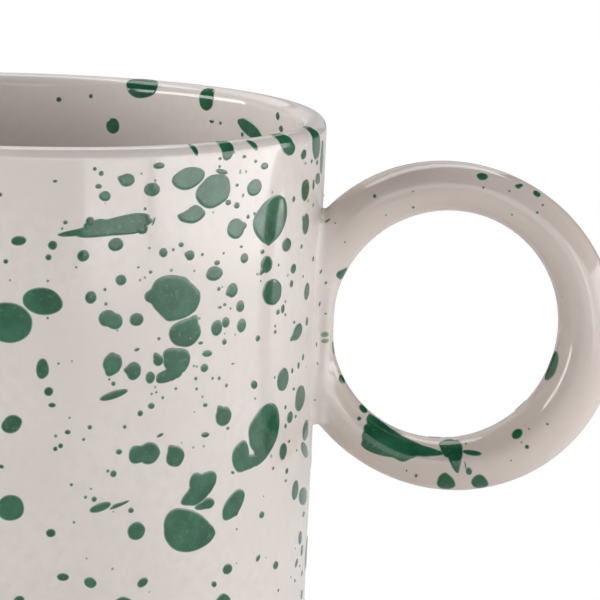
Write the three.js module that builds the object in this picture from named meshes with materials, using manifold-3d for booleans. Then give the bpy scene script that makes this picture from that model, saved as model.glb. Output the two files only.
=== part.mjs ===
// A glazed stoneware mug with a round ring handle.
// Millimetres, +Z up. The origin is the centre of the flat base, on the table, and the handle points to +X.
import * as THREE from 'three';
import { mergeVertices } from 'three/addons/utils/BufferGeometryUtils.js';
import Module from 'manifold-3d';

// ---- driving dimensions ----
const height = 90;
const rimRadius = 42.5;
const wallTaper = 0.016;          // radius lost for each millimetre below the rim
const wallThickness = 3.3;        // clay and both glaze coats together
const floorThickness = 5.2;
const footBevel = 2.2;
const footInset = 0.8;            // how far the bevel draws the base in from the wall
const floorFillet = 5;            // inside, where the wall turns into the floor

const glazeThickness = 0.35;
const clearance = 0.3;            // air between pieces that touch on the real mug
const glazeLine = 3.4;            // the outside coat stops here, above the bare foot
const linerStart = 3;             // the inside coat starts this far below the rim

const ringRadius = 19.06;         // to the middle of the tube
const ringOut = 59.8;             // ring centre, from the mug's axis
const ringDrop = 27.3;            // ring centre, below the rim
const tubeRadius = 3.6;           // clay and glaze together
const tubeLopsided = 0.3;         // the hand-rolled tube is this much thicker on its outer side
const tubeLopsidedAngle = THREE.MathUtils.degToRad(-18);
const tubeOval = 0.37;            // and swells and thins twice on its way round
const tubeOvalAngle = THREE.MathUtils.degToRad(147);

const jointStandOut = 2.2;        // slip pad between the wall and the ring's cut ends
const jointHalfWidth = 3;
const jointHalfHeight = 14;

const roundSegments = 72;
const lipSteps = 8;
const filletSteps = 5;
const ringSteps = 60;
const tubeSteps = 16;
const mergeTolerance = 1e-4;

// ---- worked out from them ----
const quarterTurn = Math.PI / 2;
const coat = glazeThickness + clearance;
const lipRadius = wallThickness / 2;
const lipMiddle = rimRadius - lipRadius;
const lipHeight = height - lipRadius;
const ringHeight = height - ringDrop;
const ringCentre = new THREE.Vector3(ringOut, 0, ringHeight);

const wasm = await Module();
wasm.setup();

// ---- helpers ----

/** Outer radius of the glazed wall at a height. */
function wallRadius(z) {
  return rimRadius - (height - z) * wallTaper;
}

/** A point of a profile: distance from the axis, height. */
function at(radius, z) {
  return new THREE.Vector2(radius, z);
}

/** Points on an arc, both ends included. */
function arc(centreRadius, centreZ, radius, fromAngle, toAngle, steps) {
  return Array.from({ length: steps + 1 }, (_, i) => {
    const angle = fromAngle + ((toAngle - fromAngle) * i) / steps;
    return at(centreRadius + radius * Math.cos(angle), centreZ + radius * Math.sin(angle));
  });
}

/** A profile spun about the mug's axis. It runs up the outside and down the inside. */
function spin(profile) {
  return new THREE.LatheGeometry(profile, roundSegments).rotateX(quarterTurn);
}

function toSolid(geometry) {
  const plain = geometry.clone();
  plain.deleteAttribute('normal');
  plain.deleteAttribute('uv');
  const merged = mergeVertices(plain, mergeTolerance);
  return new wasm.Manifold(new wasm.Mesh({
    numProp: 3,
    vertProperties: merged.getAttribute('position').array,
    triVerts: new Uint32Array(merged.getIndex().array),
  }));
}

function toGeometry(solid) {
  const mesh = solid.getMesh();
  const geometry = new THREE.BufferGeometry();
  geometry.setAttribute('position', new THREE.BufferAttribute(mesh.vertProperties, 3));
  geometry.setIndex(new THREE.BufferAttribute(mesh.triVerts, 1));
  geometry.computeVertexNormals();
  return geometry;
}

/** Everything within a distance outside (or, if negative, inside) the glazed wall, as a solid core. */
function wallCore(standOff) {
  const below = -height;
  const above = 2 * height;
  return toSolid(spin([
    at(0, below),
    at(wallRadius(below) + standOff, below),
    at(wallRadius(above) + standOff, above),
    at(0, above),
  ]));
}

// ---- the pot ----

/** One thrown piece: wall, floor and bare foot. */
function stonewareBody() {
  const outside = (z) => wallRadius(z) - coat;
  const inside = (z) => wallRadius(z) - wallThickness + coat;
  const floor = floorThickness - coat;
  const filletMiddle = inside(floor + floorFillet) - floorFillet;
  return spin([
    at(0, 0),
    at(outside(0) - footInset - footBevel / 2, 0),
    at(outside(footBevel) - footInset / 2, footBevel / 2),
    at(outside(footBevel), footBevel),
    ...arc(lipMiddle, lipHeight, lipRadius - coat, 0, Math.PI, lipSteps),
    ...arc(filletMiddle, floor + floorFillet, floorFillet, 0, -quarterTurn, filletSteps),
    at(0, floor),
  ]);
}

/** The coat dipped on the outside. It goes over the lip and a little way down the inside. */
function outsideGlaze() {
  const inside = (z) => wallRadius(z) - wallThickness;
  const lipEnd = height - linerStart + clearance;
  const shell = toSolid(spin([
    at(wallRadius(glazeLine), glazeLine),
    ...arc(lipMiddle, lipHeight, lipRadius, 0, Math.PI, lipSteps),
    at(inside(lipEnd), lipEnd),
    at(inside(lipEnd) + glazeThickness, lipEnd),
    ...arc(lipMiddle, lipHeight, lipRadius - glazeThickness, Math.PI, 0, lipSteps),
    at(wallRadius(glazeLine) - glazeThickness, glazeLine),
    at(wallRadius(glazeLine), glazeLine),
  ]));
  const jointOpening = jointBlock(clearance);
  return toGeometry(shell.subtract(jointOpening));
}

/** The coat poured inside, down the wall and across the floor. */
function insideGlaze() {
  const inside = (z) => wallRadius(z) - wallThickness;
  const start = height - linerStart;
  const filletZ = floorThickness + floorFillet;
  const filletMiddle = inside(filletZ) - floorFillet;
  return spin([
    at(0, floorThickness - glazeThickness),
    ...arc(filletMiddle, filletZ, floorFillet + glazeThickness, -quarterTurn, 0, filletSteps),
    at(inside(start) + glazeThickness, start),
    at(inside(start), start),
    ...arc(filletMiddle, filletZ, floorFillet, 0, -quarterTurn, filletSteps),
    at(0, floorThickness),
  ]);
}

// ---- the handle ----

/** Radius of the glazed tube at an angle round the ring, counted from +X towards +Z. */
function tubeRadiusAt(angle) {
  return tubeRadius
    + tubeLopsided * Math.cos(angle - tubeLopsidedAngle)
    + tubeOval * Math.cos(2 * (angle - tubeOvalAngle));
}

/**
 * The whole ring as a solid, its tube thinned all round by an inset, standing in the XZ plane.
 * It starts as a torus with a tube of radius 1, and each point is then pushed out to its real distance.
 */
function ringSolid(inset) {
  const torus = new THREE.TorusGeometry(ringRadius, 1, tubeSteps, ringSteps);
  const position = torus.getAttribute('position');
  const point = new THREE.Vector3();
  for (let i = 0; i < position.count; i += 1) {
    point.fromBufferAttribute(position, i);
    const angle = Math.atan2(point.y, point.x);
    const tubeMiddle = new THREE.Vector3(Math.cos(angle), Math.sin(angle), 0).multiplyScalar(ringRadius);
    point.sub(tubeMiddle).multiplyScalar(tubeRadiusAt(angle) - inset).add(tubeMiddle);
    position.setXYZ(i, point.x, point.y, point.z);
  }
  torus.rotateX(quarterTurn);
  torus.translate(ringCentre.x, ringCentre.y, ringCentre.z);
  return toSolid(torus);
}

/** The clay ring, cut off where it meets the slip pad on the wall. */
function ringHandle() {
  return toGeometry(ringSolid(coat).subtract(wallCore(jointStandOut + clearance)));
}

/** The glaze round the ring, a thin sleeve that is open at both cut ends. */
function handleGlaze() {
  const sleeve = ringSolid(0).subtract(ringSolid(glazeThickness));
  return toGeometry(sleeve.subtract(wallCore(jointStandOut + clearance)));
}

/** A block over the joint, grown all round by a margin. */
function jointBlock(margin) {
  const block = new THREE.BoxGeometry(
    rimRadius,
    2 * (jointHalfWidth + margin),
    2 * (jointHalfHeight + margin),
  );
  block.translate(rimRadius, 0, ringHeight);
  return toSolid(block);
}

/** The pad of slip that lutes the ring to the wall, hollowed where the finger hole meets it. */
function slipJoint() {
  const holeRadius = ringRadius - tubeRadiusAt(Math.PI);
  const fingerHole = toSolid(new THREE.CylinderGeometry(holeRadius, holeRadius, rimRadius, roundSegments)
    .translate(ringCentre.x, ringCentre.y, ringCentre.z));
  const onTheWall = jointBlock(0).intersect(wallCore(jointStandOut)).subtract(wallCore(clearance - coat));
  return toGeometry(onTheWall.subtract(fingerHole));
}

// ---- the mug ----

const clay = new THREE.MeshStandardMaterial({ color: 0xcdbca6, roughness: 0.85, metalness: 0 });
const creamGlaze = new THREE.MeshStandardMaterial({ color: 0xe3dcd6, roughness: 0.12, metalness: 0 });

const pieces = [
  ['stoneware_body', stonewareBody(), clay],
  ['outside_glaze', outsideGlaze(), creamGlaze],
  ['inside_glaze', insideGlaze(), creamGlaze],
  ['ring_handle', ringHandle(), clay],
  ['handle_glaze', handleGlaze(), creamGlaze],
  ['handle_slip_joint', slipJoint(), clay],
];

const mug = new THREE.Group();
for (const [name, geometry, material] of pieces) {
  const mesh = new THREE.Mesh(geometry, material);
  mesh.name = name;
  mug.add(mesh);
}

export default mug;
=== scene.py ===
"""A glazed stoneware mug with a ring handle, splashed with green glaze.

Metres, +Z up, in the CAD model's frame. The handle points to +X and the camera stands at -Y.
"""
import math

import bpy
import numpy as np
from mathutils import Matrix, Vector


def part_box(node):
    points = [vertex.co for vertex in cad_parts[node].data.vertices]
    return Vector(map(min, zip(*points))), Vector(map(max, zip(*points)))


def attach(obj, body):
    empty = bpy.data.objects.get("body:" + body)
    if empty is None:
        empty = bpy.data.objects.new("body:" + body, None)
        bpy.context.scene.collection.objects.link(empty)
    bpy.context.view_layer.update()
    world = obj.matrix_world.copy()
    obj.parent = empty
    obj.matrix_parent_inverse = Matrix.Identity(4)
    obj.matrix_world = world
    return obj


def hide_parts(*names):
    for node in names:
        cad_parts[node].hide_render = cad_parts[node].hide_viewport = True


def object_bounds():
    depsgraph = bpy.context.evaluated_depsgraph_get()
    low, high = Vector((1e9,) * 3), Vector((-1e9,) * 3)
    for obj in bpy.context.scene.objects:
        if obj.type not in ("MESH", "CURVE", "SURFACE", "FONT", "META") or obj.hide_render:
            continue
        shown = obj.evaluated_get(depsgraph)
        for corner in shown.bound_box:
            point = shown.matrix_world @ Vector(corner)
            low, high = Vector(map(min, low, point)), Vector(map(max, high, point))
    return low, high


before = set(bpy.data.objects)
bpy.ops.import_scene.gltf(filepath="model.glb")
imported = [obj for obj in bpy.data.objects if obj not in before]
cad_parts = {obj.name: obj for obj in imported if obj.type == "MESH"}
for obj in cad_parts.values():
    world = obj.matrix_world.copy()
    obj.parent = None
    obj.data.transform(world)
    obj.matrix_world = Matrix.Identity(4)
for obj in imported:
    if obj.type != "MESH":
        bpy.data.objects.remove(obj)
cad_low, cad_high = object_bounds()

MM = 0.001
scene = bpy.context.scene

# ---- the mug's sizes: outer ones from the frame, the rest as in part.mjs ----

coat_low, coat_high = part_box("outside_glaze")
base_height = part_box("stoneware_body")[0].z
ring_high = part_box("handle_glaze")[1]

rim_radius = coat_high.y
rim_height = coat_high.z
glaze_line = coat_low.z
wall_taper = 0.016
wall_thickness = 3.3 * MM
lip_radius = wall_thickness / 2
lip_middle = rim_radius - lip_radius
lip_height = rim_height - lip_radius
floor_height = 5.2 * MM
floor_fillet = 5 * MM
foot_bevel = 2.2 * MM
foot_radius = 38.5 * MM
glaze_thickness = 0.35 * MM

ring_radius = 19.06 * MM
tube_radius = 3.6 * MM
tube_lopsided = 0.3 * MM
tube_lopsided_angle = math.radians(-18)
tube_oval = 0.37 * MM
tube_oval_angle = math.radians(147)
pad_stand_out = 2.2 * MM
pad_half_width = 3 * MM
pad_half_height = 14 * MM

# ---- fineness of the meshes ----

cup_columns = 336
arc_steps = 48
wall_row = 1.2 * MM
lip_row = 0.2 * MM
handle_cell = 0.32 * MM
nudge = 0.01 * MM
coat_edge_rows = 4
hidden_share = 3  # the coat's hidden back has one row for this many in front
bevel_rows = 8

quarter_turn = math.pi / 2
full_turn = 2 * math.pi


# ---- small tools ----

def arc(centre_radius, centre_height, radius, start, end):
    """Points of an arc in section, both ends included. Angles in degrees from outwards towards up."""
    angles = np.radians(np.linspace(start, end, arc_steps + 1))
    return [(centre_radius + radius * math.cos(a), centre_height + radius * math.sin(a)) for a in angles]


def mesh_object(name, points, faces, material):
    mesh = bpy.data.meshes.new(name)
    mesh.from_pydata(points, [], faces)
    mesh.materials.append(material)
    thing = bpy.data.objects.new(name, mesh)
    scene.collection.objects.link(thing)
    return thing


def make_piece(name, points, faces, material, slot, *stands_for):
    """A smooth-shaded mesh object that rides with the mug."""
    piece = mesh_object(name, points.tolist(), faces, material)
    piece.data.validate()
    piece.data.shade_smooth()
    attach(piece, "root")
    if stands_for:
        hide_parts(*stands_for)
    return piece


def grid_faces(rows, columns, first=0):
    """Quads between closed rows of points, each row starting where the one before it ends."""
    faces = []
    for start in range(first, first + (rows - 1) * columns, columns):
        for near, far in zip(range(columns), [*range(1, columns), 0]):
            faces.append((start + near, start + far, start + columns + far, start + columns + near))
    return faces


def fan_faces(centre, first, columns, outwards):
    """Triangles from one middle point to a closed row of points."""
    around = range(columns)
    if outwards:
        return [(centre, first + i, first + (i + 1) % columns) for i in around]
    return [(centre, first + (i + 1) % columns, first + i) for i in around]


# ---- the glazed surface of the cup ----

def wall_radius(height):
    return rim_radius - (rim_height - height) * wall_taper


def glazed_section():
    """The glazed surface in section: floor, inside wall, lip, outside wall down to the bare foot."""
    floor_turn = floor_height + floor_fillet
    fillet_middle = wall_radius(floor_turn) - wall_thickness - floor_fillet
    points = [(0, floor_height)]
    points += arc(fillet_middle, floor_turn, floor_fillet, -90, 0)
    points += arc(lip_middle, lip_height, lip_radius, 180, 0)
    points += [(wall_radius(glaze_line), glaze_line)]
    return np.array(points).T


section_radius, section_height = glazed_section()
section_steps = np.hypot(np.diff(section_radius), np.diff(section_height))
section_along = np.concatenate([[0], np.cumsum(section_steps)])
section_along -= section_along[np.argmax(section_height)]
floor_along, glaze_line_along = section_along[0], section_along[-1]
lip_quarter = lip_radius * quarter_turn

wave_height = 0.035 * MM
throwing_pitch = 5.5 * MM
drift_pitch = 19 * MM


def waviness(angle, along, radius):
    """How far the hand-made wall strays from a true cone. It fades out towards the middle of the floor."""
    slow = np.sin(2 * angle + 0.6) + 0.6 * np.sin(3 * angle + along / drift_pitch)
    rings = 0.35 * np.sin(along / throwing_pitch + 2 * np.sin(angle))
    return wave_height * (slow + rings) * (radius / rim_radius) ** 2


def section_at(along):
    return np.array([np.interp(along, section_along, part) for part in (section_radius, section_height)])


def wall_point(angle, along, lift=0.0):
    """Points on the cup's glaze, or lifted off it: angle from +X towards +Y, distance from the lip's crest.

    The distance is positive down the outside and negative down the inside.
    """
    radius, height = section_at(along)
    run, rise = section_at(along + nudge) - section_at(along - nudge)
    length = np.hypot(run, rise)
    lift = lift + waviness(angle, along, radius)
    out = radius - lift * rise / length
    up = height + lift * run / length
    return np.stack([out * np.cos(angle), out * np.sin(angle), up], -1)


def spin(rows):
    """A closed mesh from rows of points round the axis. Its first and last row lie on the axis."""
    points = np.concatenate([rows[0][:1], *rows[1:-1], rows[-1][:1]])
    inner_rows = len(rows) - 2
    faces = [face[::-1] for face in grid_faces(inner_rows, cup_columns, 1)]
    faces += fan_faces(0, 1, cup_columns, True)
    faces += fan_faces(len(points) - 1, len(points) - 1 - cup_columns, cup_columns, False)
    return points, faces


def cup_glaze(material):
    """The cream coat: floor, inside, over the lip and down the outside, with its hidden back."""
    lip_rows = np.arange(-2 * lip_quarter, 2 * lip_quarter, lip_row)
    inside_rows = np.arange(floor_along, lip_rows[0], wall_row)
    outside_rows = np.arange(2 * lip_quarter, glaze_line_along, wall_row)
    front = np.concatenate([inside_rows, lip_rows, outside_rows])
    edge = np.linspace(0, quarter_turn, coat_edge_rows + 1)[1:]
    section = [(along, 0.0) for along in front]
    section += [
        (glaze_line_along - glaze_thickness * (1 - math.sin(a)), -glaze_thickness * (1 - math.cos(a)))
        for a in edge
    ]
    section += [(along, -glaze_thickness) for along in front[::-hidden_share]]
    section += [(floor_along, -glaze_thickness)]
    angle = np.arange(cup_columns) * full_turn / cup_columns
    rows = [wall_point(angle, np.full(cup_columns, along), lift) for along, lift in section]
    points, faces = spin(rows)
    make_piece("cup_glaze", points, faces, material, "cream_glaze", "outside_glaze", "inside_glaze")


body_gap = 0.12 * MM
out_of_round = (0.0006, 0.0003)
foot_proud = 0.27 * MM
ripple_height = 0.06 * MM
ripple_pitch = 1.7 * MM


def clay_body(material):
    """The thrown clay: hidden behind the coat, and bare at the foot and underneath."""
    skin = glaze_thickness + body_gap
    hidden = np.arange(glaze_line_along - wall_row, floor_along, -2 * wall_row)
    angle = np.arange(cup_columns) * full_turn / cup_columns

    def bare_row(radius, height):
        """A row that is very slightly out of round."""
        out = radius * (1 + out_of_round[0] * np.sin(3 * angle + 1) + out_of_round[1] * np.sin(7 * angle))
        return np.stack([out * np.cos(angle), out * np.sin(angle), np.full(cup_columns, height)], -1)

    rows = [bare_row(0, base_height)]
    for radius in np.arange(ripple_pitch, foot_radius - ripple_pitch, ripple_pitch / 4):
        ripple = 0.5 - 0.5 * math.cos(full_turn * radius / ripple_pitch)
        rows.append(bare_row(radius, base_height + ripple_height * ripple))
    bevel_top = base_height + foot_bevel
    bevel_out = wall_radius(bevel_top) - foot_proud
    for share in np.linspace(0, 1, bevel_rows + 1):
        turn = share * quarter_turn
        radius = foot_radius + (bevel_out - foot_radius) * math.sin(turn)
        rows.append(bare_row(radius, base_height + foot_bevel * (1 - math.cos(turn))))
    rows.append(bare_row(wall_radius(glaze_line) - foot_proud, glaze_line))
    for along in hidden:
        rows.append(wall_point(angle, np.full(cup_columns, along), -skin))
    rows.append(bare_row(0, floor_height - skin))
    points, faces = spin(rows)
    faces = [face[::-1] for face in faces]
    make_piece("clay_body", points, faces, material, "bare_stoneware", "stoneware_body")


# ---- the handle ----

def tube_radius_at(around):
    """Radius of the glazed tube, at an angle round the ring from +X towards +Z."""
    return (
        tube_radius
        + tube_lopsided * np.cos(around - tube_lopsided_angle)
        + tube_oval * np.cos(2 * (around - tube_oval_angle))
    )


round_the_ring = np.linspace(0, full_turn, 361)
ring_reach = ring_radius + tube_radius_at(round_the_ring)
ring_x = ring_high.x - np.max(ring_reach * np.cos(round_the_ring))
ring_z = ring_high.z - np.max(ring_reach * np.sin(round_the_ring))

crease = 0.6 * MM  # how softly the ring runs into its slip pad
wall_crease = 1.2 * MM  # and both into the wall
pad_rounding = 0.7 * MM
root_depth = 1.6 * MM  # the handle's root ends inside the wall
skin_depth = 0.08 * MM
skin_half_thickness = 0.5 * MM
skin_half_width = 7 * MM
skin_half_height = 18 * MM
dent_height = 0.03 * MM
dent_pitch = 5 * MM
relax_rounds = 4
tube_rounds = 12  # steps that find the tube's surface along a ray


def soft_union(a, b, softness):
    """The nearer of two distances, with the corner between the two surfaces filled."""
    blend = np.clip(0.5 + 0.5 * (b - a) / softness, 0, 1)
    return b + (a - b) * blend - softness * blend * (1 - blend)


def box_distance(offsets, halves, rounding):
    """Distance to a rounded box, from offsets along its axes."""
    over = [np.abs(offset) - (half - rounding) for offset, half in zip(offsets, halves)]
    outside = np.sqrt(sum(np.maximum(o, 0) ** 2 for o in over))
    return outside + np.minimum(np.maximum.reduce(over), 0) - rounding


def handle_distance(points):
    """How far points are outside the handle: ring, slip pad, and a sunken skin of wall behind them."""
    x, y, z = points[..., 0], points[..., 1], points[..., 2]
    from_ring = np.hypot(x - ring_x, z - ring_z) - ring_radius
    around = np.arctan2(z - ring_z, x - ring_x)
    dents = np.sin(x / dent_pitch + 1) * np.sin(y / dent_pitch + 2) * np.sin(z / dent_pitch)
    ring = np.hypot(from_ring, y) - tube_radius_at(around) - dent_height * dents
    out = np.hypot(x, y) - wall_radius(z)
    pad_sides = (pad_stand_out, pad_half_width, pad_half_height)
    pad = box_distance((out, y, z - ring_z), pad_sides, pad_rounding)
    skin_offsets = (out + skin_depth + skin_half_thickness, y, z - ring_z)
    skin_sides = (skin_half_thickness, skin_half_width, skin_half_height)
    skin = box_distance(skin_offsets, skin_sides, skin_half_thickness / 2)
    handle = soft_union(ring, pad, crease)
    handle = soft_union(handle, skin, wall_crease)
    return np.maximum(handle, -(out + root_depth))


def slope(distance, points):
    """Direction in which a distance grows, by central differences."""
    axes = np.eye(3) * nudge
    return np.stack([distance(points + a) - distance(points - a) for a in axes], -1) / (2 * nudge)


def settle(points, distance, lift=0.0, rounds=4):
    """Points moved straight to where the distance is the lift."""
    for _ in range(rounds):
        direction = slope(distance, points)
        steepness = np.maximum(np.sum(direction**2, -1, keepdims=True), 0.1)
        points = points - (distance(points) - lift)[..., None] * direction / steepness
    return points


def net_surface(distance, low, high, step):
    """A closed quad mesh where a distance is zero: one point in each grid cell that the surface crosses."""
    axes = [np.arange(a, b, step) for a, b in zip(low, high)]
    value = distance(np.stack(np.meshgrid(*axes, indexing="ij"), -1))
    total = np.zeros((*value.shape, 3))
    count = np.zeros(value.shape)
    units = np.eye(3, dtype=int)
    quads = []
    for axis in range(3):
        ahead = np.roll(value, -1, axis)
        crossed = (value < 0) != (ahead < 0)
        lower = np.argwhere(crossed)
        start = value[tuple(lower.T)]
        end = ahead[tuple(lower.T)]
        crossing = np.array(low) + step * (lower + (start / (start - end))[:, None] * units[axis])
        side, other = units[(axis + 1) % 3], units[(axis + 2) % 3]
        cells = [lower, lower - side, lower - side - other, lower - other]
        for cell in cells:
            np.add.at(total, tuple(cell.T), crossing)
            np.add.at(count, tuple(cell.T), 1)
        quad = np.stack([np.ravel_multi_index(tuple(cell.T), value.shape) for cell in cells], 1)
        quads.append(np.where((start < 0)[:, None], quad, quad[:, ::-1]))
    used = np.flatnonzero(count)
    points = total.reshape(-1, 3)[used] / count.ravel()[used, None]
    return points, np.searchsorted(used, np.concatenate(quads))


def relax(points, quads, rounds):
    """Points moved towards the middle of their neighbours, to even out the mesh."""
    a, b = quads.ravel(), np.roll(quads, -1, 1).ravel()
    for _ in range(rounds):
        total = np.zeros_like(points)
        count = np.zeros(len(points))
        np.add.at(total, a, points[b])
        np.add.at(count, a, 1)
        points = (points + total / count[:, None]) / 2
        points = settle(points, handle_distance, rounds=1)
    return points


def ring_handle(material):
    """The glazed handle in one piece, with the slip pad at its root."""
    margin = 3 * handle_cell
    reach = ring_radius + tube_radius + tube_lopsided + tube_oval + margin
    low = (rim_radius - 6 * MM, -skin_half_width - margin, ring_z - reach)
    high = (ring_high.x + margin, skin_half_width + margin, ring_z + reach)
    points, quads = net_surface(handle_distance, low, high, handle_cell)
    points = relax(points, quads, relax_rounds)
    points = settle(points, handle_distance)
    make_piece(
        "handle", points, quads.tolist(), material, "cream_glaze",
        "ring_handle", "handle_glaze", "handle_slip_joint",
    )


# ---- green drops ----
# A drop is (across, down, width, height, tilt) in millimetres and degrees: across is measured round the wall
# from the handle's middle, down from the rim. Height is left out where the drop is round, tilt where it is
# upright; a positive tilt rises towards the handle. A list is one drop made of several lobes, middle first.

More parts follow.
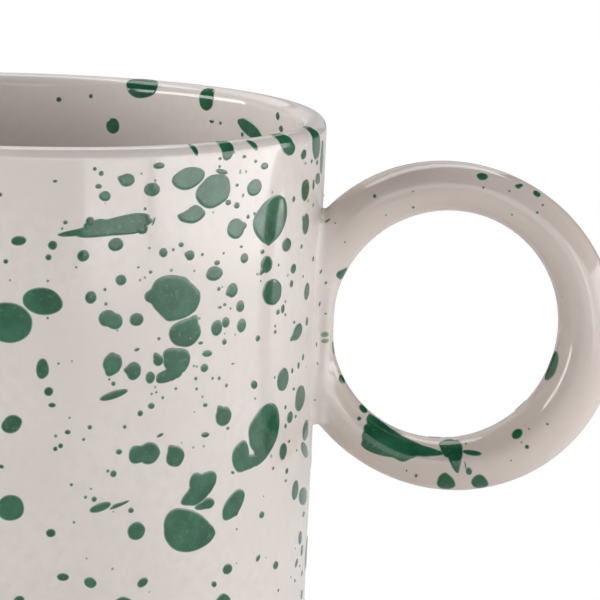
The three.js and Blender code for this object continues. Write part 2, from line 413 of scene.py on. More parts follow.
WALL_DROPS = [
    (50.8, 2.7, 0.6), (49.9, 3.3, 0.75), (56, 4.3, 0.7, 0.45), (50.2, 5, 1, 0.7), (49.3, 6.3, 1.7, 1.4),
    [(46.3, 4.25, 2.2, 1.8), (47.4, 3.9, 0.8, 0.6)], (42.7, 5.6, 2.4, 1.9), (41.8, 2.5, 1.8, 0.9),
    (37.2, 4.35, 5.1, 3.0, 8), (43.8, 10.8, 1.4, 1.3), (54.5, 9.7, 0.7, 0.6), (54.9, 10.5, 0.4),
    (42.3, 9.8, 0.35, 1.3, -20), (43.6, 8.1, 0.5), (56.1, 12.7, 1.3), (56.6, 14.3, 0.9),
    (47.6, 12.7, 2.2, 1.8), (52, 14.1, 1.7, 1.6), (40.7, 14, 1.4, 1.3), (38, 13.1, 0.9, 0.7),
    (39.2, 13.7, 0.5), (42.8, 13.3, 0.4), [(36.5, 14.6, 1.5, 1.4), (37.3, 14.3, 0.9, 0.4)],
    (52.9, 15.6, 0.35), (44.3, 15.8, 0.5, 0.3), (42.5, 16.5, 0.6, 0.5), (39.3, 16.4, 0.35),
    (46.7, 17.4, 1.6, 1.5), (48.9, 18.6, 0.5), (50.8, 19.6, 1.7), (48.7, 20.5, 0.5), (56.6, 17.4, 0.4),
    (57.2, 20.1, 5.2, 3.8), (56.5, 22.3, 0.4), [(48.4, 22.4, 2.6, 2.3), (47.3, 22.9, 2.2)],
    (44.3, 22.7, 2.1, 1.8), [(40.85, 28.3, 1.7, 1.5), (41.35, 27.5, 0.9, 0.8)], (44.1, 26.7, 0.9, 0.5, 15),
    (40.9, 25.4, 0.5), [(47.5, 28.4, 2.7, 3), (47.8, 29.6, 1.6, 1.2)],
    [(44.5, 29.5, 2.3, 2.5), (45.6, 29.3, 0.8, 0.6)], (42, 30.5, 1.5, 1.7), (57, 29, 1.8, 2.8),
    (51.2, 9.6, 1.3), (44, 10.6, 1.9, 1.7), (56.1, 32, 1.3), (55.6, 33.8, 1.1, 0.7), (54.9, 28.3, 0.4),
    (53.1, 28, 0.3), (47.9, 30.5, 0.4), (47.3, 31.1, 0.7), (47.2, 32.6, 4.2, 1.1, 16),
    (41.7, 34.3, 1.1, 0.9), (43.3, 35.2, 0.9), (40, 33.3, 0.5), (41, 32.5, 0.4), (41.7, 32.7, 0.4),
    (38, 32.2, 0.5), (53.2, 35.5, 0.35), (50.4, 36.8, 0.7), (53.4, 37.4, 0.9, 0.7), (51.2, 38.4, 0.5),
    (55, 37.9, 0.5), (54.3, 39.2, 0.75), (55, 39.6, 0.7), (45.5, 36.9, 0.6), (40.2, 38.3, 1.2, 0.5, 20),
    (46.2, 40.2, 1, 0.8), (47.7, 42.7, 0.5), (46.9, 43.1, 1),
    [(41.8, 40.6, 3.4, 3.0), (43.8, 40.7, 2.2, 2.6)], [(37.7, 41.3, 3, 2.9), (38.5, 40.1, 1.0, 0.9)],
    (52.7, 44.4, 0.5), (50, 45, 0.35), (50.7, 46.1, 0.5), (49.5, 46.4, 0.8), (48.6, 47.5, 3.2, 1.2, 17),
    [(45.9, 47.3, 3.1, 0.5, 20), (46.5, 47.4, 0.8)], (44.2, 48.1, 0.9, 0.8), (43.3, 50.9, 2.6),
    (52.2, 49.4, 0.4), (55.3, 50.8, 1.4, 1.2), (32.1, 2.05, 0.6, 0.45), (36.2, 0.5, 0.95, 2.3, 14),
    (25.6, 0.6, 1.2, 2.2, 35), (27.6, 2.1, 0.8, 0.5), (25.3, 2.9, 0.7, 0.5), (23.3, 3.7, 1.7, 1.0),
    (28.3, 3.9, 0.3), (31.7, 3.8, 2.2, 0.75, -12), (32.1, 3.1, 0.5), (30.3, 8, 1.1, 0.8),
    (28.8, 5.8, 0.7, 0.5), (28.7, 8.5, 1.2, 0.9), (27.5, 7.2, 0.4), (25.3, 6.4, 3.1, 2.3),
    (26.4, 10.2, 0.7), (25.1, 9.9, 0.5), [(28.7, 11.6, 3.3, 2.8), (27.1, 11.3, 1.2, 0.9)],
    (27.5, 14.1, 0.7, 0.4), (23, 15.2, 1, 0.7), (26.8, 15.7, 1.6, 1.4), (16.9, 14.9, 2.7, 1.9),
    [(21.9, 17, 2.8, 2.4), (23.4, 18.2, 0.7)], (18.9, 17.4, 0.5), (23.1, 19.1, 0.4), (32.3, 17.3, 3, 2),
    (31.9, 15.9, 1.1, 0.7), (34.5, 14.6, 0.5), (30.8, 14.7, 0.4), (31.4, 19.4, 0.7, 0.6), (30.8, 19.2, 0.3),
    [(28.9, 19.8, 2.1, 2), (30, 20.2, 0.6)], (27.2, 22.1, 1.7, 1.6), (31.1, 21.9, 0.8, 0.4),
    (30.2, 21.6, 0.7, 0.5), (29.1, 22.2, 0.4), (20.2, 20.9, 5.0, 3.6, -12), (31.5, 24.6, 2.1, 2.2),
    (29.9, 24, 1.5), (26.8, 24.7, 1.9), (30, 26.6, 0.9), (34.2, 26.4, 0.9, 0.5), (30, 25.5, 0.3),
    (28, 25.8, 0.3), (23.2, 26.8, 1.1, 0.9), (18.5, 23.8, 1, 0.8), (17.2, 23.5, 1.1, 1.3),
    (16.5, 22.6, 0.4), (16.4, 24.4, 0.5), (19.1, 25.6, 0.5), (19, 26.4, 0.8, 0.6), (33, 27.9, 1.8, 1.0),
    (33.4, 29.8, 1.4, 1.2), (28.2, 29.7, 0.7, 0.3), (34.8, 31.1, 0.6), (31.9, 31.3, 0.5), (30.7, 31.4, 0.6),
    (34.6, 32.5, 0.5), (29.3, 32.5, 0.6), (23.6, 33, 1.6, 1.2, -20), (33, 34.8, 0.9, 0.6),
    (16.2, 33.2, 3.5, 3.2), (18.6, 32.6, 0.5), [(29.6, 36.6, 3.1, 2.7), (30.5, 35.4, 0.9)],
    (28.7, 38.3, 0.7, 0.5), (32.8, 38.8, 1.5, 0.8), (27.4, 44.4, 0.8, 0.5, -20), (18, 45, 0.8, 0.5),
    (18.6, 43.3, 0.4), (15.2, 43.1, 2.5, 2.4), [(31.9, 48.1, 2.5, 1.6), (33.1, 48.4, 2.6, 0.95)],
    [(26.95, 48.8, 5.2, 3.1, 38), (26.2, 50.25, 0.5)], (20.5, 51, 1.4, 1.0), (26.1, 52.2, 0.4),
    (3.4, 4.7, 2.4, 4.6), (12.7, 3.2, 2.1, 1.4), (9.4, 4.5, 0.9, 0.6), (6.6, 5, 1.3, 0.8),
    (8, 7.8, 1.2, 1.5), (5.6, 7.3, 3.2, 1.6, -8), (11.5, 8.1, 3.2, 3), (15.4, 8.9, 1, 0.9),
    [(10.7, 12.8, 2.8, 2.9), (12.1, 11.8, 0.9, 0.6)], (12, 15.7, 0.9, 0.7), (14.5, 18.4, 1.9, 1.4),
    (14.9, 20.4, 1.2, 1.1), (6.2, 18.1, 1.3, 0.9), (8.8, 22.2, 2.5), (10.8, 19.9, 0.5), (8.1, 26.4, 1.3),
    (13.4, 25.8, 0.8, 0.5), [(12.0, 27.3, 3.8, 2.2, 12), (13.8, 27.9, 1.8, 0.8, 8)], (2, 15.4, 1.5, 1.2),
    (9.2, 31.1, 1), (11, 32, 1), (13.3, 32.4, 0.9, 0.8), (12.5, 35, 0.9, 0.5), (9.6, 36.65, 4.6, 3.5),
    (15.1, 37.1, 0.8, 0.7), (13.4, 38.7, 2.1, 1.7), (11.3, 38.9, 0.9, 0.6), (14.8, 39.7, 0.8),
    (13.4, 42, 0.9, 0.5), (6, 41.6, 3.8, 2.9), (6, 44.3, 5.2, 1.8, -25), (13.7, 46, 1.1, 0.9),
    (13.9, 47.3, 0.8, 0.5), (10, 49.2, 2.9, 2.8), (5.4, 50.8, 5.6, 2.5, -12), (4.6, 53.4, 1.8, 0.8),
]

# On the far side's inside wall, seen over the near lip.
INSIDE_DROPS = [
    (51.8, 0.7, 5.4, 3.8), (39.7, 1.5, 3, 3.6), (56.3, 6.7, 2.3), (29.2, 4.8, 7.2, 2.2, -16),
    (65, 3.4, 0.9, 0.8), (60, 2.7, 0.7), (38.4, 4.6, 1.1, 0.6), (36.5, 4.6, 0.7), (21, 2, 1.5, 1.2),
    (19.5, 3.6, 1.8, 1), (31.3, 5.7, 0.8),
]

# On the handle: degrees round the ring from +X towards +Z, degrees round the tube (0 on its outer side,
# -90 at the front, -180 at the finger hole), then width along the ring, height and tilt as above.
HANDLE_DROPS = [
    (78.5, -48, 1.6, 1.5), [(65.2, -38, 0.9, 1.1), (63.8, -25, 0.5, 0.9)],
    [(57.4, -28, 0.7, 1.4), (59.1, -28, 0.8, 1.5)], (54, -47, 0.4, 0.5), (54, -71, 0.45), (67.3, -61, 0.4),
    (77, -75, 0.4, 0.5), (62, -109, 0.35), (119.8, -69, 0.55, 0.7), (106.8, -126, 0.4, 0.6),
    (105, -88, 0.3), (119.5, -118, 0.3),
    [(154.8, -158, 2.0, 1.6), (155.4, -146, 1.2, 1.6), (155.6, -138, 0.6, 1.0)], (193.8, -167, 2.0, 1.0),
    (209.5, -161, 1.4, 1.8), (227.3, -161, 1.5, 2.0), (228.8, -126, 0.65, 0.9), (272, -52.6, 2.6, 3.4),
    (284.3, -46, 2.35, 3.1), (281.3, -80, 0.95, 1.15), (280.3, -94, 0.25, 1.1), (260.8, -62, 0.5, 0.8),
    (256.8, -69, 0.3, 0.5), (283.9, -117, 2.8, 0.85, -20), (281.7, -142, 0.4), (306.3, -116, 1.85, 1.25),
    (306.8, -85, 0.7, 0.65), (306, -98, 0.3), (319.3, -93, 0.4), (312, -110, 0.3), (298.5, -77, 0.3),
    (342, -155, 4.2, 2.6), (157.3, -99, 0.7, 0.3), (161.2, -118.4, 0.5, 0.4), (171.2, -117.8, 0.75, 0.3),
    (141.1, -107.8, 0.3), (138.1, -64.5, 0.3), (139.5, -48.5, 0.9, 0.4), (175.4, -132, 0.3),
    (189.5, -113.7, 0.7, 0.25), (197.8, -107.8, 0.5, 0.25), (211.3, -68.3, 0.3),
]

# Where the green glaze is thin, it is paler.
FAINT_HANDLE_DROPS = [(185.4, -131.8, 0.8, 1), (188.5, -132, 0.62, 1)]
FAINT_WALL_DROPS = [
    (23.9, 18.1, 0.6, 0.4), (16.2, 19.1, 0.6, 0.4), (16.5, 22.6, 0.5), (16.3, 24.4, 0.6, 0.4),
    (18.7, 43.2, 0.5), (10.2, 43.7, 0.9, 0.4), (7.7, 10.6, 0.9, 0.6), (11.9, 4.5, 0.7, 0.4),
    (10.2, 9.7, 0.7, 0.4), (28.3, 4.2, 0.5, 0.3), (27.6, 7.3, 0.5), (23.2, 34.9, 0.5, 0.4),
    (13.5, 42, 0.8, 0.5), (4.7, 53.4, 1.6, 0.9), (39.4, 16.4, 0.5), (35.7, 16.7, 0.4), (43.3, 17.2, 0.4),
    (44, 17.5, 0.4), (41.2, 31.8, 0.4), (35.2, 29.4, 0.4), (34.7, 29.5, 0.4), (33, 40.3, 0.4),
]

# Larger shapes, each by its middle, width, height and tilt, and then by points round its edge. A negative
# distance down is over the lip's crest, on the inside.
WALL_PATCHES = [
    ((49.2, 10.5, 12.6, 2.3, 10), [
        (55.6, 11.3), (55, 11), (53, 10.6), (52, 10.3), (51.7, 9.6), (51, 9.2), (50.4, 9.7), (49, 9.4),
        (47, 8.9), (45, 8.6), (43.5, 8.7), (42.9, 9.3), (43.2, 10.4), (43.5, 11.2), (44.3, 11.3),
        (45, 10.9), (48, 11.5), (50, 11.7), (53, 11.5), (55, 11.6),
    ]),
    ((21.2, 11.1, 8.3, 6.4), [
        (25.4, 11), (24, 9.3), (22, 8.2), (19.5, 7.9), (18, 8.5), (17.2, 10.5), (18, 12.5), (19.5, 13.7),
        (21, 14.3), (21.6, 14.7), (22.2, 14.3), (24, 13.3),
    ]),
    ((17.6, 1.2, 4.3, 4.4), [
        (19.8, -0.3), (18, -0.4), (17, 0.2), (16.2, 1.2), (15.5, 2), (16, 2.7), (17, 2.9), (18.2, 2.6),
        (19.2, 1.9), (19.8, 0.8),
    ]),
    ((7.4, 2.2, 4.6, 5.6), [
        (9.3, 0), (8.2, -0.1), (7, 0.5), (6, 1.2), (5.3, 2), (5, 3), (5.5, 4), (7, 4.5), (8.2, 4.3),
        (8.9, 3.6), (9.4, 2.5), (9.6, 1.2),
    ]),
    ((30.7, 1, 2.3, 3.6), [
        (31.5, -0.3), (30, -0.4), (29.4, 0.3), (29.9, 1.8), (30.6, 2.3), (31.6, 2), (31.8, 1),
    ]),
    ((33.1, 6.3, 6, 4.4, 25), [
        (33, 4.1), (32, 4.1), (31, 4.3), (30.3, 4.9), (30.1, 5.6), (30, 6.4), (30.3, 7.2), (30.7, 7.7),
        (31.4, 8), (32.3, 8.4), (33.2, 8.6), (34.1, 8.5), (34.9, 8.1), (35.6, 7.5), (36, 6.9), (36, 6.3),
        (35.5, 5.5), (34.9, 5), (34.2, 4.4),
    ]),
    ((36.3, 9.2, 4.4, 2.4), [
        (36, 7.9), (35.3, 8.1), (34.6, 8.6), (34.2, 9.1), (34.6, 9.7), (35.2, 10.1), (36.2, 10.4),
        (37.2, 10.3), (38.2, 10), (38.6, 9.6), (38.8, 9.1), (38.4, 9), (37.8, 8.8), (37.1, 8.5),
        (36.6, 8.1),
    ]),
    ((38.7, 20, 8.6, 6.2), [
        (39.5, 17), (38.1, 17.2), (37.1, 17.4), (36.2, 18.2), (35.2, 19), (34.6, 19.5), (34.5, 20.3),
        (34.8, 21.3), (35.3, 22.1), (36, 22.5), (37, 22.9), (38.1, 23.1), (39.8, 23.2), (40.3, 22.7),
        (41.2, 21.9), (42, 21.1), (42.3, 20.6), (42.9, 20.5), (43.3, 20), (43.3, 19.3), (42.9, 19),
        (42.4, 18.8), (42.2, 18.2), (41.6, 17.5), (40.6, 17.1),
    ]),
    ((36.8, 24.8, 5.2, 4), [
        (35, 22.5), (34.8, 23.1), (34.7, 23.7), (34.3, 24.4), (34.2, 25.1), (34.6, 25.8), (35.4, 26.5),
        (36.3, 26.8), (37.3, 26.7), (38.2, 26.5), (38.9, 26), (39.4, 25.1), (39.4, 24.4), (39, 23.8),
        (38.3, 23.4), (37.3, 23.1), (36.3, 22.9), (35.6, 22.6),
    ]),
    ((37.8, 29.7, 4.5, 4.5), [
        (41.1, 30.1), (41.1, 31.3), (40, 31.4), (39, 31.2), (38, 30.9), (37, 30.2), (36.3, 29.6),
        (35.9, 28.8), (35.8, 28), (36.3, 27.2), (37.1, 26.9), (38.2, 26.8), (39.3, 26.7), (40, 27),
        (40.3, 27.4), (40.1, 28), (40.1, 28.9), (39.6, 29.6),
    ]),
    ((20.8, 39.4, 7.8, 7), [
        (20, 35.9), (19, 36), (18, 36.4), (17.2, 37.2), (16.8, 38.2), (16.7, 39.2), (16.9, 40.2),
        (17.4, 41.2), (18.2, 42), (19.2, 42.8), (20.2, 43.5), (21.2, 43.9), (22.2, 44.2), (23, 44.3),
        (22.9, 42.2), (23.5, 41.8), (24, 41.2), (24.3, 40.2), (24.5, 39.1), (24.3, 38.4), (23.5, 37.6),
        (22.6, 36.9), (21.8, 36.3), (20.8, 36),
    ]),
    ((25.3, 43.1, 4.6, 3.6), [
        (25.5, 40.2), (24.9, 40.4), (24.5, 41), (24.2, 41.7), (24.1, 42.4), (23.2, 42.5), (22.2, 42.6),
        (21.8, 43.3), (22.2, 44), (23.2, 44.3), (24.2, 44.4), (25, 44.5), (25.7, 44.6), (26.4, 44.5),
        (27, 44), (27.5, 43.2), (27.7, 42.3), (27.5, 41.4), (27, 40.9), (26.3, 40.5),
    ]),
    ((33.6, 45.8, 5, 4.6), [
        (34.1, 43.7), (33.2, 44), (32.4, 43.8), (31.5, 43.7), (30.8, 43.9), (30.4, 44.5), (30.5, 45.3),
        (31, 46.1), (31.8, 46.9), (32.6, 47.5), (33.4, 47.9), (34.2, 48.2), (35.2, 48.1), (36.4, 47.9),
        (36.7, 47.6), (36.3, 46.9), (35.6, 46.2), (35.2, 45.7), (35.3, 45), (35.1, 44.3), (34.7, 43.8),
    ]),
    ((34.8, 51.3, 9.4, 6.2), [
        (39.1, 51), (39.2, 50.2), (38.9, 49.2), (38.2, 48.5), (37.2, 48.2), (36, 48.4), (35, 48.6),
        (34, 49), (33, 49.5), (32.2, 50.1), (31.4, 50.8), (30.5, 51.6), (30.2, 52.3), (30.9, 53.2),
        (32.6, 54), (34.8, 54.4), (37, 54), (38.5, 52.8),
    ]),
]
HANDLE_PATCHES = [
    ((247, -122, 10.5, 4.6), [
        (231, -150), (233, -130), (234, -108), (236, -88), (236, -74), (239, -73), (243, -77), (248, -85),
        (251, -90), (253, -84), (255, -88), (257, -99), (260, -109), (264, -116), (267, -113), (271, -114),
        (272, -122), (268, -132), (261, -140), (257, -146), (250, -153), (244, -162), (239, -170),
        (234, -172), (231, -165),
    ]),
    ((275.2, -132, 3.2, 5.6), [
        (277, -75), (278, -90), (279, -104), (280, -120), (280, -134), (279, -152), (276, -159),
        (270, -159), (268, -150), (269, -138), (270, -124), (273, -112), (274, -100), (275, -88),
    ]),
]

drop_thickness = 0.07 * MM
drop_edge_width = 0.32 * MM
drop_segment = 0.22 * MM  # between points of a drop's outline
fewest_segments = 14
most_segments = 110
ring_distances = (0, 0.03 * MM, 0.08 * MM, 0.16 * MM, 0.3 * MM)
ring_shares = (0, 0.1, 0.22, 0.4, 0.6)
ring_spacing = 0.5 * MM
sunk = 0.05 * MM  # a drop's hidden underside
outline_sunk = 0.01 * MM
wobble = 0.05
thickness_range = (0.85, 1.15)
thickest_share = 0.2  # of a small drop's width
edge_share = 0.4
deep_enough = 1 * MM
faint_cover = 0.3
faint_count = 130
faint_sizes = (0.25, 0.45)

# Sizes of the random drops, in millimetres: up to this share, from, to.
SIZE_KINDS = [(0.5, 0.3, 0.9), (0.8, 0.9, 2), (0.96, 2, 4), (1, 4.5, 8)]
wall_spacing = 0.62
foot_margin = 0.7  # as a share of a drop's size
flattest = 0.62
steepest = 35
back_count = 620
low_count = 130
inside_count = 90
inside_low_count = 26
handle_tries = 150
handle_size_share = 0.7
flattest_on_handle = 0.7
handle_spacing = 0.6
around_per_mm = 3  # degrees
tube_per_mm = 16

# Where the random drops are: round the wall and down, in millimetres, or degrees round the ring and tube.
wall_girth = full_turn * rim_radius / MM
glaze_depth = (rim_height - glaze_line) / MM
lowest_drop = glaze_depth - 1
unseen_from, unseen_to = 60.5, wall_girth - 4.5
OUTSIDE_BACK = (unseen_from, 0.6), (unseen_to, lowest_drop)
OUTSIDE_LOW = (-3, 56), (unseen_from, lowest_drop)
INSIDE_NEAR = (70, 0.8), (wall_girth + 14, 26)
INSIDE_LOW = (14, 12), (70, 34)
HANDLE_BACK = (-130, 10), (130, 170)


def lobe(across, down, width, height=None, tilt=0):
    """One entry of the lists above, in metres and radians, with its optional values filled in."""
    height = width if height is None else height
    return across, down, width * MM, height * MM, math.radians(tilt)


def turned(right, up, angle):
    """A vector turned clockwise."""
    return right * math.cos(angle) + up * math.sin(angle), up * math.cos(angle) - right * math.sin(angle)


def far_crossing(right, up, middle, width, height, tilt):
    """How far along each ray from the origin the ellipse's far side lies, or 0 where the ray misses."""
    ray_right, ray_up = turned(right, up, tilt)
    middle_right, middle_up = turned(*middle, tilt)
    ray = np.array([ray_right / (width / 2), ray_up / (height / 2)])
    centre = np.array([middle_right / (width / 2), middle_up / (height / 2)])
    along = ray[0] * centre[0] + ray[1] * centre[1]
    square = np.sum(ray**2, 0)
    inside = along**2 - square * (np.sum(centre**2) - 1)
    return np.where(inside > 0, (along + np.sqrt(np.maximum(inside, 0))) / square, 0)


def blurred(values, rounds):
    """A closed row of values, each averaged with its neighbours."""
    for _ in range(rounds):
        values = (np.roll(values, 1) + 2 * values + np.roll(values, -1)) / 4
    return values


def rough_edge(turn, size, random):
    """Small irregularities of a drop's outline. Larger drops are less regular."""
    rough = np.zeros_like(turn)
    for waves in (2, 3, 4, 5, 7):
        rough += random.normal() / waves * np.cos(waves * turn + random.uniform(0, full_turn))
    return 1 + wobble * min(1, size / (2 * MM)) * rough


class Drops:
    """Gathers many drops into one mesh."""

    def __init__(self, random):
        self.random = random
        self.points = []
        self.faces = []
        self.depths = []
        self.cover = 1.0
        self.count = 0

    def add_outline(self, place, edge_right, edge_up, narrowest):
        """One drop from its outline round the origin: a thin dome with a rounded edge, closed underneath."""
        segments = len(edge_right)
        size = np.hypot(edge_right, edge_up)
        along_right = np.roll(edge_right, -1) - np.roll(edge_right, 1)
        along_up = np.roll(edge_up, -1) - np.roll(edge_up, 1)
        across = (edge_right * along_up - edge_up * along_right) / np.hypot(along_right, along_up)
        across = blurred(np.clip(across, 0.3 * size, size), 3)
        thickness = min(drop_thickness, thickest_share * narrowest) * self.random.uniform(*thickness_range)
        edge_width = min(drop_edge_width, edge_share * narrowest)
        scales = [1 - np.minimum(d / across, share) for d, share in zip(ring_distances, ring_shares)]
        inner_rings = math.ceil(np.max(size) / ring_spacing)
        scales += [scales[-1] * (1 - k / inner_rings) for k in range(1, inner_rings)]
        rows = [(0.5, np.zeros(segments), np.full(segments, -sunk))]
        for scale in scales:
            depth = (1 - scale) * across
            dome = np.sqrt(1 - (1 - np.minimum(depth / edge_width, 1)) ** 2)
            rows.append((scale, depth, (thickness + outline_sunk) * dome - outline_sunk))
        first = self.count
        middle = np.zeros(1)
        self.points.append(place(middle, middle, np.array([-sunk])))
        self.depths.append(middle)
        for scale, depth, lift in rows:
            self.points.append(place(edge_right * scale, edge_up * scale, lift))
            self.depths.append(depth * self.cover)
        self.points.append(place(middle, middle, np.array([thickness])))
        self.depths.append(np.array([across.min() * self.cover]))
        last = first + len(rows) * segments + 1
        self.faces += fan_faces(first, first + 1, segments, False)
        self.faces += grid_faces(len(rows), segments, first + 1)
        self.faces += fan_faces(last, last - segments, segments, True)
        self.count = last + 1

    def add_lobes(self, place, lobes):
        """A drop of one or more elliptical lobes. Their middles count from the first one's."""
        _, _, width, height, tilt = lobes[0]
        girth = math.pi * (width + height) / 2 * (1 + 0.3 * (len(lobes) > 1))
        segments = int(np.clip(girth / drop_segment, fewest_segments, most_segments))
        turn = np.arange(segments) * full_turn / segments
        right, up = turned(width / 2 * np.cos(turn), height / 2 * np.sin(turn), -tilt)
        reach = np.ones(segments)
        for lobe_right, lobe_up, lobe_width, lobe_height, lobe_tilt in lobes[1:]:
            crossing = far_crossing(right, up, (lobe_right, lobe_up), lobe_width, lobe_height, lobe_tilt)
            reach = np.maximum(reach, crossing)
        reach = blurred(reach, 2) * rough_edge(turn, min(width, height), self.random)
        self.add_outline(place, right * reach, up * reach, min(width, height))

    def add_edge(self, place, width, height, tilt, edge):
        """A drop from points round its edge, in metres to the right and up from its middle."""
        right, up = turned(*np.array(edge).T, tilt)
        right, up = right / (width / 2), up / (height / 2)
        edge_turn, edge_reach = np.arctan2(up, right), np.hypot(right, up)
        segments = most_segments
        turn = np.arange(segments) * full_turn / segments - math.pi
        order = np.argsort(edge_turn)
        reach = np.interp(turn, edge_turn[order], edge_reach[order], period=full_turn)
        reach = blurred(reach, 2)
        right, up = turned(width / 2 * np.cos(turn) * reach, height / 2 * np.sin(turn) * reach, -tilt)
        self.add_outline(place, right, up, min(width, height))

    def make(self, name, material):
        piece = make_piece(name, np.concatenate(self.points), self.faces, material, "green_glaze")
        depth = piece.data.attributes.new("depth", "FLOAT", "POINT")
        depth.data.foreach_set("value", (np.concatenate(self.depths) / deep_enough).astype(np.float32))


def below_rim(down):
    """Distance along the glaze from the lip's crest to a depth below the rim."""
    if down < lip_radius:
        return lip_radius * math.acos(1 - max(down, 0) / lip_radius) + min(down, 0)
    return down - lip_radius + lip_quarter


def on_outside(across, down):
    """Where things are round a point of the outside wall, to the right and up as one looks at it."""
    angle, along = -across * MM / rim_radius, below_rim(down * MM)
    return lambda right, up, lift: wall_point(angle + right / rim_radius, along - up, lift)


def on_inside(across, down):
    """The same on the inside of the far wall."""
    angle, along = across * MM / rim_radius, -below_rim(down * MM)
    return lambda right, up, lift: wall_point(angle - right / rim_radius, along + up, lift)


def handle_point(around, tube, lift):
    """The point of the handle's glaze that is seen from the tube's middle in a given direction."""
    outwards = np.stack([np.cos(around), np.zeros_like(around), np.sin(around)], -1)
    middle = np.array([ring_x, 0, ring_z]) + ring_radius * outwards
    direction = outwards * np.cos(tube)[..., None]
    direction[..., 1] = np.sin(tube)
    reach = np.full(around.shape, tube_radius)
    for _ in range(tube_rounds):
        reach = reach + lift - handle_distance(middle + reach[..., None] * direction)
    return middle + reach[..., None] * direction


def on_handle(around, tube):
    """The same on the handle, with the ring's far side of the tube up."""
    around, tube = math.radians(around), math.radians(tube)
    ring_scale = ring_radius + tube_radius * math.cos(tube)

    def place(right, up, lift):
        lift = np.broadcast_to(lift, right.shape)
        return handle_point(around + right / ring_scale, tube - up / tube_radius, lift)

    return place


def add_drop(drops, drop, on_surface, offset):
    """A drop of the lists: one lobe, or several."""
    entries = [lobe(*entry) for entry in (drop if isinstance(drop, list) else [drop])]
    first = entries[0][:2]
    lobes = [(*offset(*entry[:2], *first), *entry[2:]) for entry in entries]
    drops.add_lobes(on_surface(*first), lobes)


def wall_offset(across, down, from_across, from_down):
    """Metres to the right and up between two points of the wall given in millimetres."""
    return (from_across - across) * MM, (from_down - down) * MM


def handle_offset(around, tube, from_around, from_tube):
    """Metres to the right and up between two points of the handle given in degrees."""
    ring_scale = ring_radius + tube_radius * math.cos(math.radians(from_tube))
    return math.radians(around - from_around) * ring_scale, math.radians(from_tube - tube) * tube_radius


def random_size(random):
    """Splashes are mostly specks, with some drops and a few large patches."""
    kind = random.uniform()
    smallest, largest = next((a, b) for up_to, a, b in SIZE_KINDS if kind < up_to)
    return random.uniform(smallest, largest)


def scatter(drops, count, area, place, random):
    """Random drops over a rectangle of the wall. They keep apart and stay above the foot."""
    kept = []
    sizes = sorted((random_size(random) for _ in range(count)), reverse=True)
    for size in sizes:
        across, down = random.uniform(*area)
        down = min(down, glaze_depth - foot_margin * size)
        near = [math.hypot(across - a, down - d) < wall_spacing * (size + s) for a, d, s in kept]
        if any(near):
            continue
        kept.append((across, down, size))
        height = size * random.uniform(flattest, 1)
        tilt = math.radians(random.uniform(-steepest, steepest))
        drops.add_lobes(place(across, down), [(0, 0, size * MM, height * MM, tilt)])


def outside_drops(material):
    random = np.random.default_rng(11)
    drops = Drops(random)
    for drop in WALL_DROPS:
        add_drop(drops, drop, on_outside, wall_offset)
    for middle, edge in WALL_PATCHES:
        across, down, width, height, tilt = lobe(*middle)
        along = below_rim(down * MM)
        points = [((across - a) * MM, along - below_rim(d * MM)) for a, d in edge]
        drops.add_edge(on_outside(across, down), width, height, tilt, points)
    back = Drops(random)
    scatter(back, back_count, OUTSIDE_BACK, on_outside, random)
    back.make("green_drops_back", material)
    scatter(drops, low_count, OUTSIDE_LOW, on_outside, random)
    drops.cover = faint_cover
    for drop in FAINT_WALL_DROPS:
        add_drop(drops, drop, on_outside, wall_offset)
    for _ in range(faint_count):
        across, down = random.uniform((0, 1), (wall_girth, lowest_drop))
        size = random.uniform(*faint_sizes) * MM
        drops.add_lobes(on_outside(across, down), [(0, 0, size, size, 0)])
    drops.make("green_drops_outside", material)


def inside_drops(material):
    random = np.random.default_rng(12)
    drops = Drops(random)
    for drop in INSIDE_DROPS:
        add_drop(drops, drop, on_inside, wall_offset)
    scatter(drops, inside_count, INSIDE_NEAR, on_inside, random)
    scatter(drops, inside_low_count, INSIDE_LOW, on_inside, random)
    drops.make("green_drops_inside", material)


def handle_drops(material):
    random = np.random.default_rng(13)
    drops = Drops(random)
    for drop in HANDLE_DROPS:
        add_drop(drops, drop, on_handle, handle_offset)
    drops.cover = faint_cover
    for drop in FAINT_HANDLE_DROPS:
        add_drop(drops, drop, on_handle, handle_offset)
    drops.cover = 1.0
    for middle, edge in HANDLE_PATCHES:
        around, tube, width, height, tilt = lobe(*middle)
        points = [handle_offset(a, t, around, tube) for a, t in edge]
        drops.add_edge(on_handle(around, tube), width, height, tilt, points)
    kept = []
    for _ in range(handle_tries):
        around, tube = random.uniform(*HANDLE_BACK)
        size = random_size(random) * handle_size_share
        apart = [math.hypot((around - a) / around_per_mm, (tube - t) / tube_per_mm) for a, t, _ in kept]
        if any(far < handle_spacing * (size + s) for far, (_, _, s) in zip(apart, kept)):
            continue
        kept.append((around, tube, size))
        height = size * random.uniform(flattest_on_handle, 1)
        drops.add_lobes(on_handle(around, tube), [(0, 0, size * MM, height * MM, 0)])
    drops.make("green_drops_handle", material)


# ---- materials ----

# The clay is warmer than the coats, and the green is paler where it is thin.
CREAM_DARK, CREAM_LIGHT, CREAM_MOTTLE = (0.775, 0.703, 0.662), (0.81, 0.748, 0.707), (0.765, 0.698, 0.657)
# The handle's darker, warmer cream on the next line is painted shade.
SHADED_HANDLE_CREAM, PINHOLE = (0.66, 0.56, 0.50), (0.55, 0.47, 0.42)
GREEN_DARK, GREEN_LIGHT, GREEN_GRAIN = (0.010, 0.088, 0.040), (0.028, 0.150, 0.078), (0.05, 0.20, 0.11)
THIN_GREEN = (0.30, 0.42, 0.33)
CLAY_DARK, CLAY_LIGHT, GRIT = (0.50, 0.40, 0.30), (0.60, 0.50, 0.40), (0.25, 0.18, 0.13)
glaze_ior = 1.6
clay_ior = 1.5
# The handle's cream is painted darker and warmer away from the wall: painted shade.
handle_shade_from_wall = 4 * MM  # over this distance from the wall the handle's painted shade sets in
handle_painted_shade = 0.7


def new_material(name):
    material = bpy.data.materials.new(name)
    material.use_nodes = True
    return material, material.node_tree


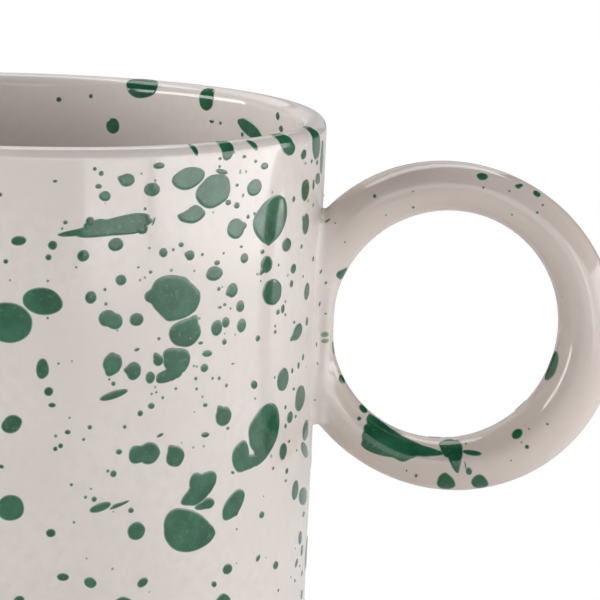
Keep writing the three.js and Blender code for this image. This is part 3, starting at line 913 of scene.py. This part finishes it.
def feed(tree, node, inputs):
    """Sets a node's inputs, each to a value or to another node's output."""
    for name, value in inputs.items():
        if isinstance(value, bpy.types.NodeSocket):
            tree.links.new(value, node.inputs[name])
        else:
            node.inputs[name].default_value = value


def add_node(tree, kind, inputs=None, **settings):
    node = tree.nodes.new("ShaderNode" + kind)
    for name, value in settings.items():
        setattr(node, name, value)
    feed(tree, node, inputs or {})
    return node


def own_place(tree):
    """A point's place in the mug's own coordinates."""
    return add_node(tree, "TexCoord").outputs["Object"]


def noise(tree, place, scale, detail=3.0):
    """A noise texture. The scale is in features per metre."""
    return add_node(tree, "TexNoise", {"Vector": place, "Scale": scale, "Detail": detail}).outputs["Fac"]


def spread(tree, value, low, high, new_low=0.0, new_high=1.0):
    """A value mapped smoothly from one range to another."""
    inputs = {"Value": value, "From Min": low, "From Max": high, "To Min": new_low, "To Max": new_high}
    return add_node(tree, "MapRange", inputs, interpolation_type="SMOOTHSTEP").outputs["Result"]


def mixed(tree, share, first, second):
    """A colour between two, each a colour or another node's output."""
    mix = add_node(tree, "Mix", {"Factor": share}, data_type="RGBA")
    places = [place for place, socket in enumerate(mix.inputs) if socket.type == "RGBA"]
    colours = [(*colour, 1) if isinstance(colour, tuple) else colour for colour in (first, second)]
    feed(tree, mix, dict(zip(places, colours)))
    return [socket for socket in mix.outputs if socket.type == "RGBA"][0]


def specks(tree, place, scale, size, share):
    """Small round dots: one in some of the cells of a Voronoi pattern."""
    cells = add_node(tree, "TexVoronoi", {"Vector": place, "Scale": scale})
    dot = spread(tree, cells.outputs["Distance"], size * 0.5, size, 1, 0)
    split = add_node(tree, "SeparateColor", {"Color": cells.outputs["Color"]})
    chosen = spread(tree, split.outputs["Red"], share, share + 0.02, 1, 0)
    return add_node(tree, "Math", {0: dot, 1: chosen}, operation="MULTIPLY").outputs["Value"]


def shade(tree, colour, roughness, ior, height, distance):
    """The material's surface. Height makes relief, up to the distance high."""
    relief = add_node(tree, "Bump", {"Height": height, "Distance": distance, "Strength": 1})
    inputs = {"Base Color": colour, "Roughness": roughness, "IOR": ior, "Normal": relief.outputs["Normal"]}
    feed(tree, tree.nodes["Principled BSDF"], inputs)


def cream_glaze_material(name, painted_shade):
    """The cream coat. Away from the wall its colour can be darkened and warmed: painted shade on the handle.
    """
    material, tree = new_material(name)
    place = own_place(tree)
    clouds = spread(tree, noise(tree, place, 55), 0.3, 0.7)
    base = mixed(tree, clouds, CREAM_DARK, CREAM_LIGHT)
    mottle = spread(tree, noise(tree, place, 700, 4), 0.35, 0.75)
    base = mixed(tree, mottle, base, CREAM_MOTTLE)
    along = add_node(tree, "SeparateXYZ", {"Vector": place}).outputs["X"]
    # Painted shade: the colour goes darker and warmer away from the wall.
    handle_shade = spread(tree, along, rim_radius, rim_radius + handle_shade_from_wall, 0, painted_shade)
    base = mixed(tree, handle_shade, base, SHADED_HANDLE_CREAM)
    base = mixed(tree, specks(tree, place, 240, 0.05, 0.16), base, PINHOLE)
    rough = spread(tree, noise(tree, place, 160), 0.3, 0.7, 0.06, 0.12)
    shade(tree, base, rough, glaze_ior, noise(tree, place, 210, 2), 0.012 * MM)
    return material


def green_glaze_material():
    material, tree = new_material("green_glaze_gloss")
    place = own_place(tree)
    depth = add_node(tree, "Attribute", attribute_name="depth").outputs["Fac"]
    pools = spread(tree, noise(tree, place, 330, 4), 0.3, 0.72)
    green = mixed(tree, pools, GREEN_DARK, GREEN_LIGHT)
    grains = spread(tree, noise(tree, place, 1700, 3), 0.55, 0.8)
    green = mixed(tree, grains, green, GREEN_GRAIN)
    base = mixed(tree, spread(tree, depth, 0.0, 0.2), THIN_GREEN, green)
    rough = spread(tree, noise(tree, place, 260), 0.3, 0.7, 0.06, 0.13)
    shade(tree, base, rough, glaze_ior, noise(tree, place, 330, 2), 0.010 * MM)
    return material


def bare_clay_material():
    material, tree = new_material("bare_fired_clay")
    place = own_place(tree)
    clouds = spread(tree, noise(tree, place, 90, 5), 0.3, 0.7)
    base = mixed(tree, clouds, CLAY_DARK, CLAY_LIGHT)
    base = mixed(tree, specks(tree, place, 900, 0.22, 0.3), base, GRIT)
    rough = spread(tree, noise(tree, place, 500), 0.3, 0.7, 0.75, 0.92)
    shade(tree, base, rough, clay_ior, noise(tree, place, 2200, 4), 0.05 * MM)
    return material


# ---- the studio ----

def from_around(azimuth, elevation, distance):
    """A place seen from the mug: azimuth 0 is towards -Y, 90 towards +X; degrees."""
    a, e = math.radians(azimuth), math.radians(elevation)
    flat = distance * math.cos(e)
    return Vector((flat * math.sin(a), -flat * math.cos(a), distance * math.sin(e)))


mug_middle = (cad_low + cad_high) / 2
world_strength = 0.02


def softbox(name, azimuth, elevation, distance, width, height, radiance):
    """A soft panel facing the mug. Radiance is what a perfect mirror would show, 1 being white."""
    light = bpy.data.lights.new(name, "AREA")
    light.shape = "RECTANGLE"
    light.size, light.size_y = width, height
    light.energy = radiance * math.pi * width * height
    panel = bpy.data.objects.new(name, light)
    offset = from_around(azimuth, elevation, distance)
    panel.location = mug_middle + offset
    panel.rotation_euler = offset.to_track_quat("Z", "Y").to_euler()
    panel.visible_camera = False
    scene.collection.objects.link(panel)


def studio_lights():
    """Degrees round and up, metres away, width and height, and radiance. The two nearest veil the greens."""
    softbox("right", 90, 7.5, 0.42, 0.56, 0.2, 2.9)
    softbox("front_right", 42, 7.5, 0.42, 0.18, 0.2, 1.9)
    softbox("front", 12, 8, 1.5, 1.3, 0.7, 1.4)
    softbox("left", -75, 12, 0.8, 0.85, 0.32, 6.7)
    softbox("top_back", 208, 67, 1.5, 1.7, 0.6, 3.4)
    softbox("back", 200, 38, 1.5, 1.6, 0.8, 1.1)
    softbox("back_low", 192, 10, 1.5, 1.5, 0.5, 0.5)


def world_light():
    world = bpy.data.worlds.new("studio")
    world.use_nodes = True
    tree = world.node_tree
    feed(tree, tree.nodes["Background"], {"Color": (1, 1, 1, 1), "Strength": world_strength})
    scene.world = world


FLOOR_GREY = (0.82, 0.82, 0.82, 1)
floor_roughness = 0.9
floor_radius = 4.0
floor_columns = 96
bright_from = 0.055
bright_to = 0.12
backdrop_rise = 0.05 * MM


def stage_piece(name, section, material):
    """A mesh for the studio, spun about the mug's axis, from the radii and heights of its section, axis
    first.
    """
    angle = np.arange(floor_columns) * full_turn / floor_columns
    points = [(0, 0, section[0][1])]
    for radius, height in section[1:]:
        points += [(radius * math.cos(a), radius * math.sin(a), height) for a in angle]
    faces = fan_faces(0, 1, floor_columns, True) + grid_faces(len(section) - 1, floor_columns, 1)
    piece = mesh_object(name, points, faces, material)
    return piece


def studio_floor():
    """A plain pale floor, which the mug stands on and which throws light up at it."""
    material, tree = new_material("pale_floor")
    feed(tree, tree.nodes["Principled BSDF"], {"Base Color": FLOOR_GREY, "Roughness": floor_roughness})
    stage_piece("floor", [(0, 0), (floor_radius, 0)], material)


def white_backdrop():
    """A white bowl that only the camera sees: clear by the mug and pure white further off."""
    material, tree = new_material("white_backdrop")
    tree.nodes.remove(tree.nodes["Principled BSDF"])
    length = add_node(tree, "VectorMath", {0: own_place(tree)}, operation="LENGTH")
    cover = spread(tree, length.outputs["Value"], bright_from, bright_to)
    clear = add_node(tree, "BsdfTransparent").outputs["BSDF"]
    white = add_node(tree, "Emission").outputs["Emission"]
    mix = add_node(tree, "MixShader", {"Fac": cover, 1: clear, 2: white})
    feed(tree, tree.nodes["Material Output"], {"Surface": mix.outputs["Shader"]})
    bowl = arc(0, backdrop_rise, floor_radius, 0, 90)
    sheet = stage_piece("backdrop", [(0, backdrop_rise), *bowl], material)
    for ray in ("diffuse", "glossy", "transmission", "shadow"):
        setattr(sheet, "visible_" + ray, False)


# ---- the camera, where the photographer's was ----

camera_azimuth = 4.405
camera_elevation = 8.579
camera_roll = math.radians(1.740)
camera_distance = 0.9
camera_lens = 396.4
camera_sensor = 36
nearest_seen = 50 * MM
target_right = 39.608 * MM
target_down = 25.18 * MM  # from the rim


def place_camera():
    data = bpy.data.cameras.new("camera")
    data.lens = camera_lens
    data.sensor_width = camera_sensor
    data.clip_start = nearest_seen
    camera = bpy.data.objects.new("camera", data)
    azimuth = math.radians(camera_azimuth)
    sideways = Vector((math.cos(azimuth), math.sin(azimuth), 0))
    target = sideways * target_right + Vector((0, 0, rim_height - target_down))
    back = from_around(camera_azimuth, camera_elevation, 1)
    upright = back.to_track_quat("Z", "Y").to_matrix()
    rolled = upright @ Matrix.Rotation(camera_roll, 3, "Z")
    camera.matrix_world = Matrix.Translation(target + back * camera_distance) @ rolled.to_4x4()
    scene.collection.objects.link(camera)
    scene.camera = camera


def build():
    cream = cream_glaze_material("cream_glaze_gloss", 0)
    # The handle's coat carries painted shade away from the wall.
    shaded_cream = cream_glaze_material("shaded_cream_glaze_gloss", handle_painted_shade)
    green = green_glaze_material()
    clay = bare_clay_material()
    cup_glaze(cream)
    clay_body(clay)
    ring_handle(shaded_cream)
    outside_drops(green)
    inside_drops(green)
    handle_drops(green)


place_camera()
studio_floor()
white_backdrop()
studio_lights()
world_light()
build()
scene.view_settings.view_transform = "Standard"
